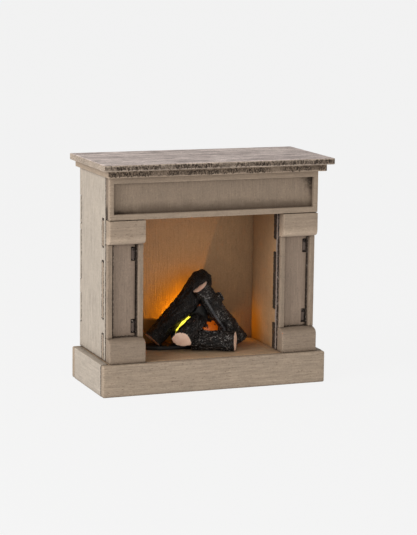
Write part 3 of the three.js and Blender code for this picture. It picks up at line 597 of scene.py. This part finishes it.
BOARDS = {
    "mantel_shelf": (SHELF_EDGE, X, dict(streak=0.62, mottle=0.16, scuff=1.0, pits=1.0,
                                         top=SHELF_TOP)),
    "bed_moulding": (FRONT_PAINT, X, dict(scuff=1.0, streak=0.2)),
    "frieze_frame": (FRONT_PAINT, X, {}),
    "frieze_panel": (FIELD_PAINT, Z, dict(stain=0.9, streak=0.1, pits=0.2,
                                          seams=[(Y, STILE_BACK, 0.3)])),
    "left_capital": (FRONT_PAINT, X, CAPITAL),
    "right_capital": (FRONT_PAINT, X, CAPITAL),
    "left_base_block": (BLOCK_PAINT, X, BLOCK),
    "right_base_block": (BLOCK_PAINT, X, BLOCK),
    "left_outer_stile": (BLOCK_PAINT, Z, STILE),
    "left_inner_stile": (BLOCK_PAINT, Z, INNER_STILE),
    "right_outer_stile": (BLOCK_PAINT, Z, STILE),
    "right_inner_stile": (BLOCK_PAINT, Z, INNER_STILE),
    "left_pilaster_panel": (RECESS_PAINT, Z, dict(RECESS, seams=[(X, -STILE_EDGE, 1.55),
                                                                 BLOCK_SEAM])),
    "right_pilaster_panel": (RECESS_PAINT, Z, dict(RECESS, seams=[(X, STILE_EDGE, 0.4),
                                                                  BLOCK_SEAM])),
    "front_panel": (FRONT_PAINT, X, dict(rub=0.9, seams=FINGER_SEAMS)),
    "left_side_panel": (LIT_SIDE_PAINT, Z, SIDE),
    "right_side_panel": (LIT_SIDE_PAINT, Z, SIDE),
    "rear_panel": (LIT_SIDE_PAINT, Z, dict(streak=0.3, edge_highlight=0.1, seams=REAR_SEAMS)),
    "left_firebox_cheek": (FIREBOX_PAINT, Z, CHEEK),
    # The right cheek and the firebox back have the lamp's glow painted on round the lamp.
    "right_firebox_cheek": (FIREBOX_PAINT, Z, dict(CHEEK, amber=(0.8, (CHEEK_INSIDE, 20, 24),
                                                                 4, 19))),
    "firebox_back": (FIREBOX_PAINT, Z, dict(streak=0.1, corner_shade=0.3,
                                            amber=(0.85, (-6, 22, 30), 12, 34))),
    "firebox_ceiling": (FIREBOX_PAINT, X, {}),
    "hearth_board": (HEARTH_PAINT, X, dict(streak=0.25, pits=0.6)),
    "plinth_front_board": (PLINTH_PAINT, X, dict(pits=0.9, streak=0.26,
                                                 seams=[(Y, PLINTH_JOINT, 0.55)])),
    "plinth_rear_board": (PLINTH_PAINT, X, dict(pits=0.5)),
    "plinth_left_board": (LIT_SIDE_PAINT, Y, PLINTH_SIDE),
    "plinth_right_board": (LIT_SIDE_PAINT, Y, PLINTH_SIDE),
    "base_board": (BASE_PAINT, X, dict(corner_shade=0.3)),
    "left_lower_key": (KEY_PAINT, Z, KEY),
    "left_upper_key": (KEY_PAINT, Z, KEY),
    "right_lower_key": (KEY_PAINT, Z, KEY),
    "right_upper_key": (KEY_PAINT, Z, KEY),
}


def key_seams(node):
    """A key's two ends and its right-hand side are dark."""
    return [(Z, face(node, Z, LOW), 0.7), (Z, face(node, Z, HIGH), 1.5),
            (X, face(node, X, HIGH), 0.45)]


def add_boards():
    for seed, (node, (color, grain, wear)) in enumerate(BOARDS.items(), start=1):
        if node.endswith("_key"):
            wear = dict(wear, seams=key_seams(node))
            mesh = eased_mesh(node, KEY_ARRIS, KEY_WAVE, seed)
        else:
            mesh = eased_mesh(node, ROUNDED.get(node, ARRIS), WAVE, seed)
        mesh.materials.append(paint(node, color, grain, seed, **wear))
        stand_in(linked(node + "_painted", mesh), node)


# ------------------------------------------------------------------ log pile

# Ends of each log's centre line in millimetres, what leans its sawn head off the axis, and how
# much grey is brushed over it, grey that also stands for painted glints. The head of the left log
# is a rounded knob.
LOGS = {
    "left_log": ((-25.4, 7.4, 23.2), (7.4, 9.6, 58.4), None, 0.2),
    "right_log": ((24.4, 3.0, 20.7), (0.6, 2.4, 52.0), (0, 0, 0), 0.8),
    "front_log": ((-4.6, 0.6, 22.9), (17.4, -9.3, 22.9), (-0.04, -0.1, 0.02), 1.0),
    "short_log": ((1.7, 4.4, 33.0), (-13.6, -7.6, 25.3), (0.24, -0.22, -0.2), 0.5),
}

# How far, in millimetres, the bark's ridges, lumps and grit stand out, and how far the whole bark
# is let in to stay inside the CAD solid. A sawn end keeps a small share of all that.
RIDGE, LUMP, GRIT, LET_IN = 0.36, 0.62, 0.26, 0.14
SAWN_SHARE = 0.12

# A sawn end: how near the plane of the cut, and how close to its direction a face looks.
SAWN_DEPTH, SAWN_FACING = 0.9, 0.84

# The two ends of a grey twig moulded along the front of the right log, its radius and how far it
# stands out, in millimetres.
TWIG = ((2.4, -1.5, 45.3), (14.5, -0.2, 27.4))
TWIG_RADIUS, TWIG_HEIGHT = 0.85, 0.45

CHAR, BROWN_CHAR = (0.0016, 0.0015, 0.0017, 1), (0.0095, 0.0055, 0.0036, 1)
GREY_FLECK_AND_GLINT, GREY_TWIG = (0.40, 0.375, 0.355, 1), (0.105, 0.105, 0.11, 1)
SAWN_WOOD, PALE_WOOD = (0.90, 0.61, 0.47, 1), (0.97, 0.71, 0.57, 1)
WOOD_SPECK = (0.40, 0.22, 0.15, 1)


def bark_material(name, flecks):
    """Wet-looking char with grey flecks over its ridges, partly dry-brushed grey and partly
    painted glints, and a grey twig.
    """
    s = Shader(name)
    point = s.millimetres()
    fleck = s.noise(point, 1.5, 3.0, 0.75)
    patch = s.ease(s.noise(point, 0.18, 2.0, 0.5), 0.40, 0.58, 0.1, 1.0)
    raised = s.ease(s.attribute("ridge"), 0.35, 0.70)
    # Grey flecks on the raised ridges: partly dry-brushed grey, partly painted glints.
    grey = s.math("MULTIPLY", raised, s.ease(fleck, 0.555, 0.60))
    grey = s.math("MULTIPLY", s.math("MULTIPLY", grey, patch), flecks)
    cloud = s.noise(point, 0.35, 3.0, 0.6)
    tone = s.mix(s.ease(cloud, 0.35, 0.65), CHAR, BROWN_CHAR)
    tone = s.mix(grey, tone, GREY_FLECK_AND_GLINT)
    dusty = s.ease(fleck, 0.36, 0.56, 0.25, 1.0)
    dusty = s.math("MULTIPLY", s.ease(s.attribute("twig"), 0.1, 0.5), dusty)
    tone = s.mix(dusty, tone, GREY_TWIG)
    s.feed(s.surface.inputs["Base Color"], tone)
    s.feed(s.surface.inputs["Roughness"], s.ease(fleck, 0.3, 0.7, 0.20, 0.50))
    s.surface.inputs["Specular IOR Level"].default_value = 0.26
    s.bump(s.noise(point, 2.6, 4.0, 0.75), 0.5, 1.0)
    return s.material


def sawn_material():
    s = Shader("sawn_log_end")
    point = s.millimetres(3)
    cloud = s.noise(point, 0.35, 3.0, 0.5)
    speck = s.noise(point, 2.8, 3.0, 0.6)
    tone = s.mix(s.ease(cloud, 0.3, 0.7), SAWN_WOOD, PALE_WOOD)
    tone = s.mix(s.ease(speck, 0.58, 0.76, 0.0, 0.45), tone, WOOD_SPECK)
    s.feed(s.surface.inputs["Base Color"], tone)
    s.feed(s.surface.inputs["Roughness"], s.ease(cloud, 0.3, 0.7, 0.55, 0.72))
    s.bump(speck, 0.12, 0.7)
    return s.material


def remeshed(name, node, voxel_mm, smoothing, *materials):
    """A piece with the node's own solid, meshed anew in fine even faces."""
    piece = linked(name, nodes[node].data.copy())
    remesh = piece.modifiers.new("fine", "REMESH")
    remesh.mode = "VOXEL"
    remesh.voxel_size = voxel_mm * MM
    soften = piece.modifiers.new("soften", "SMOOTH")
    soften.iterations = smoothing
    depsgraph = bpy.context.evaluated_depsgraph_get()
    fine = bpy.data.meshes.new_from_object(piece.evaluated_get(depsgraph))
    piece.modifiers.clear()
    piece.data = fine
    fine.materials.clear()
    for material in materials:
        fine.materials.append(material)
    return piece


def add_log(name, foot, head, lean, seed, bark, wood):
    """The log's own solid with ridged bark that stops at its sawn ends."""
    foot, head = Vector(foot) * MM, Vector(head) * MM
    axis = (head - foot).normalized()
    ends = [(foot, -axis)]
    if lean is not None:
        ends.append((head, (axis + Vector(lean)).normalized()))
    piece = remeshed(name + "_bark", name, 0.32, 3, bark, wood)
    fine = piece.data

    side = axis.orthogonal().normalized()
    other = axis.cross(side)
    ridges = fine.attributes.new("ridge", "FLOAT", "POINT")
    twigs = fine.attributes.new("twig", "FLOAT", "POINT")
    shift = Vector((seed * 5.3, seed * 2.1, seed * 7.9))
    normals = [v.normal.copy() for v in fine.vertices]
    for vert, normal in zip(fine.vertices, normals):
        along = (vert.co - foot).dot(axis)
        flat = on_end(vert.co, normal, ends)
        radial = vert.co - foot - axis * along
        across = Vector((radial.dot(side), radial.dot(other), along * 0.30)) / (2.1 * MM) + shift
        twist = noise.noise(vert.co / (4.5 * MM) + shift) * 0.7
        crest = 1 - abs(noise.noise(across + Vector((twist, twist, twist)))) * 2.4
        lump = noise.noise(vert.co / (5.5 * MM) + shift)
        grit = noise.noise(vert.co / (0.9 * MM) + shift)
        ridges.data[vert.index].value = max(0.0, min(1.0, 0.5 + 0.34 * crest + 0.28 * grit))
        twig = twig_share(vert.co) if name == "right_log" else 0.0
        twigs.data[vert.index].value = twig
        height = RIDGE * crest + LUMP * lump + GRIT * grit - LET_IN + TWIG_HEIGHT * twig
        vert.co += normal * height * MM * (SAWN_SHARE if flat else 1.0)
    for polygon in fine.polygons:
        polygon.use_smooth = True
        if on_end(polygon.center, polygon.normal, ends):
            polygon.material_index = 1
    stand_in(piece, name)


def twig_share(place):
    """One along the middle of the twig, nought beyond its edges."""
    start, end = (Vector(point) * MM for point in TWIG)
    run = end - start
    share = min(1.0, max(0.0, (place - start).dot(run) / run.length_squared))
    away = (place - start - run * share).length
    return max(0.0, 1.0 - (away / (TWIG_RADIUS * MM)) ** 2)


def on_end(place, normal, ends):
    """Whether a point is on a sawn end: near the plane of the cut and facing the same way."""
    return any((place - centre).dot(facing) > -SAWN_DEPTH * MM and normal.dot(facing) > SAWN_FACING
               for centre, facing in ends)


# ------------------------------------------------------------------ embers and firelight

# Where the resin is clear of char, as a centre and a radius in millimetres: by the lamp, between
# the right-hand logs, and a spot above them.
WINDOWS = ((-7.0, 4.5, 31.3, 5.6), (8.4, 3.5, 27.5, 4.6), (2.0, 6.5, 41.0, 0.3))
# The hottest point, between what distances from it the resin cools, and the top of the low crust.
HOT_POINT, HOT_TO, COOL_FROM = (-7.5, 4.5, 31.0), 6.5, 11.0
CRUST_TOP = 25.5, 26.8

RED_GLOW, YELLOW_GLOW = (0.42, 0.065, 0.002, 1), (1.0, 0.92, 0.07, 1)
ORANGE_GLOW = (0.80, 0.20, 0.01, 1)
DARK_AMBER, AMBER = (0.30, 0.055, 0.004, 1), (0.50, 0.14, 0.015, 1)
CRUST = (0.0045, 0.0035, 0.003, 1)
FIRELIGHT, HOT_LIGHT = (1.0, 0.45, 0.025), (1.0, 0.5, 0.02)


def ember_material():
    """Amber resin under a crust of char, clear only in its windows."""
    s = Shader("lit_amber")
    point = s.millimetres()
    swirl = s.noise(point, 0.5, 3.0, 0.6, 0.6)
    ragged = s.ease(s.noise(point, 0.45, 3.0, 0.65), 0.3, 0.7, -1.6, 1.6)
    reach = []
    for *centre, radius in WINDOWS:
        past = s.math("SUBTRACT", s.distance(point, centre), radius)
        reach.append(s.math("ADD", past, ragged))
    clear = s.math("MINIMUM", s.math("MINIMUM", reach[0], reach[1]), reach[2])
    low_crust = s.ease(s.split(point)[Z], *CRUST_TOP, 1.0, 0.0)
    crust = s.math("MAXIMUM", s.ease(clear, -0.12, 0.12), low_crust)
    heat = s.ease(s.distance(point, HOT_POINT), HOT_TO, COOL_FROM, 1.0, 0.0)
    glow = s.mix(heat, RED_GLOW, YELLOW_GLOW)
    glow = s.mix(s.ease(swirl, 0.35, 0.7, 0.0, 0.35), glow, ORANGE_GLOW)
    s.feed(s.surface.inputs["Base Color"], s.mix(crust, s.mix(swirl, DARK_AMBER, AMBER), CRUST))
    s.feed(s.surface.inputs["Emission Color"], glow)
    shine = s.math("ADD", s.math("MULTIPLY", heat, 1.2), 0.5)
    shine = s.math("MULTIPLY", shine, s.ease(crust, 0, 1, 1, 0))
    s.feed(s.surface.inputs["Emission Strength"], shine)
    s.feed(s.surface.inputs["Roughness"], s.ease(crust, 0, 1, 0.2, 0.55))
    rough = s.math("MULTIPLY", s.noise(point, 1.6, 3.0, 0.7), crust)
    s.bump(s.math("ADD", swirl, rough), 0.4, 0.8)
    return s.material


def add_embers():
    piece = remeshed("ember_glow_resin", "ember_glow", 0.4, 6, ember_material())
    for vert in piece.data.vertices:
        vert.co += vert.normal * noise.noise(vert.co / (2.5 * MM)) * 0.25 * MM
    for polygon in piece.data.polygons:
        polygon.use_smooth = True
    stand_in(piece, "ember_glow")


def add_logs():
    wood = sawn_material()
    for seed, (name, (foot, head, lean, flecks)) in enumerate(LOGS.items(), start=1):
        add_log(name, foot, head, lean, seed, bark_material(name + "_char", flecks), wood)
    add_embers()


def add_firelight():
    """What the lamp throws on the firebox: a fan of light up the back wall, whose right-hand edge
    is the edge of the cone, a brighter spot beside the left log, and a patch on the right
    cheek."""
    add_light("lamp_wall", "SPOT", (0.9, 18.0, 30.5), (-36.2, 23.4, 84.5), 0.105, FIRELIGHT,
              shadow_soft_size=0.5 * MM, spot_size=math.radians(107), spot_blend=0.10)
    add_light("lamp_hot", "POINT", (-3.8, 17.0, 47.5), (0, 0, 0), 0.0004, HOT_LIGHT,
              shadow_soft_size=2.0 * MM)
    add_light("lamp_cheek", "SPOT", (22, 21.6, 27), (CHEEK_INSIDE, 17.5, 28.0), 0.0110, FIRELIGHT,
              shadow_soft_size=0.6 * MM, spot_size=math.radians(112), spot_blend=1.0)


# ------------------------------------------------------------------ electrical and small parts

# Colour, roughness, metalness, the scale and the depth in millimetres of the surface's
# unevenness, and for the lamp's lens the strength of its own light.
SMALL_PARTS = {
    "black_plastic": ((0.012, 0.012, 0.013), 0.5, 0.0, 3.0, 0.03),
    "bright_steel": ((0.56, 0.57, 0.58), 0.3, 1.0, 2.0, 0.01),
    "contact_brass": ((0.60, 0.45, 0.18), 0.3, 1.0, 2.0, 0.01),
    "red_insulation": ((0.36, 0.02, 0.015), 0.4, 0.0, 2.0, 0.02),
    "black_insulation": ((0.012, 0.012, 0.012), 0.4, 0.0, 2.0, 0.02),
    "resistor_body": ((0.60, 0.46, 0.27), 0.35, 0.0, 2.0, 0.02),
    "lamp_lens": ((0.95, 0.80, 0.10), 0.15, 0.0, 1.0, 0.01, 4.0),
}


def plain_material(name, color, roughness, metallic, grain, relief, emission=0.0):
    """Moulded, plated or lacquered stuff with a fine uneven surface."""
    s = Shader(name)
    point = s.millimetres()
    fine = s.noise(point, grain, 4.0, 0.6)
    broad = s.noise(point, 0.2, 2.0, 0.5)
    tone = s.mix(s.ease(broad, 0.3, 0.7), tint(color, 0.9), tint(color, 1.1))
    tone = s.mix(s.ease(fine, 0.55, 0.75, 0.0, 0.35), tone, tint(color, 1.35))
    s.feed(s.surface.inputs["Base Color"], tone)
    uneven = s.ease(fine, 0.3, 0.7, roughness * 0.85, roughness * 1.15)
    s.feed(s.surface.inputs["Roughness"], uneven)
    s.surface.inputs["Metallic"].default_value = metallic
    if emission:
        s.feed(s.surface.inputs["Emission Color"], tone)
        s.surface.inputs["Emission Strength"].default_value = emission
    s.bump(fine, relief, 1.0)
    return s.material


def finish_small_parts():
    """The CAD's own shapes stand for these, so they only get their materials."""
    made = {slot: plain_material(slot + "_look", *look) for slot, look in SMALL_PARTS.items()}
    for node, piece in nodes.items():
        if slots[node] in made and not piece.hide_render:
            piece.data.materials.clear()
            piece.data.materials.append(made[slots[node]])


# ------------------------------------------------------------------ the scene

add_camera()
add_studio()
add_floor()
add_boards()
add_logs()
add_firelight()
finish_small_parts()
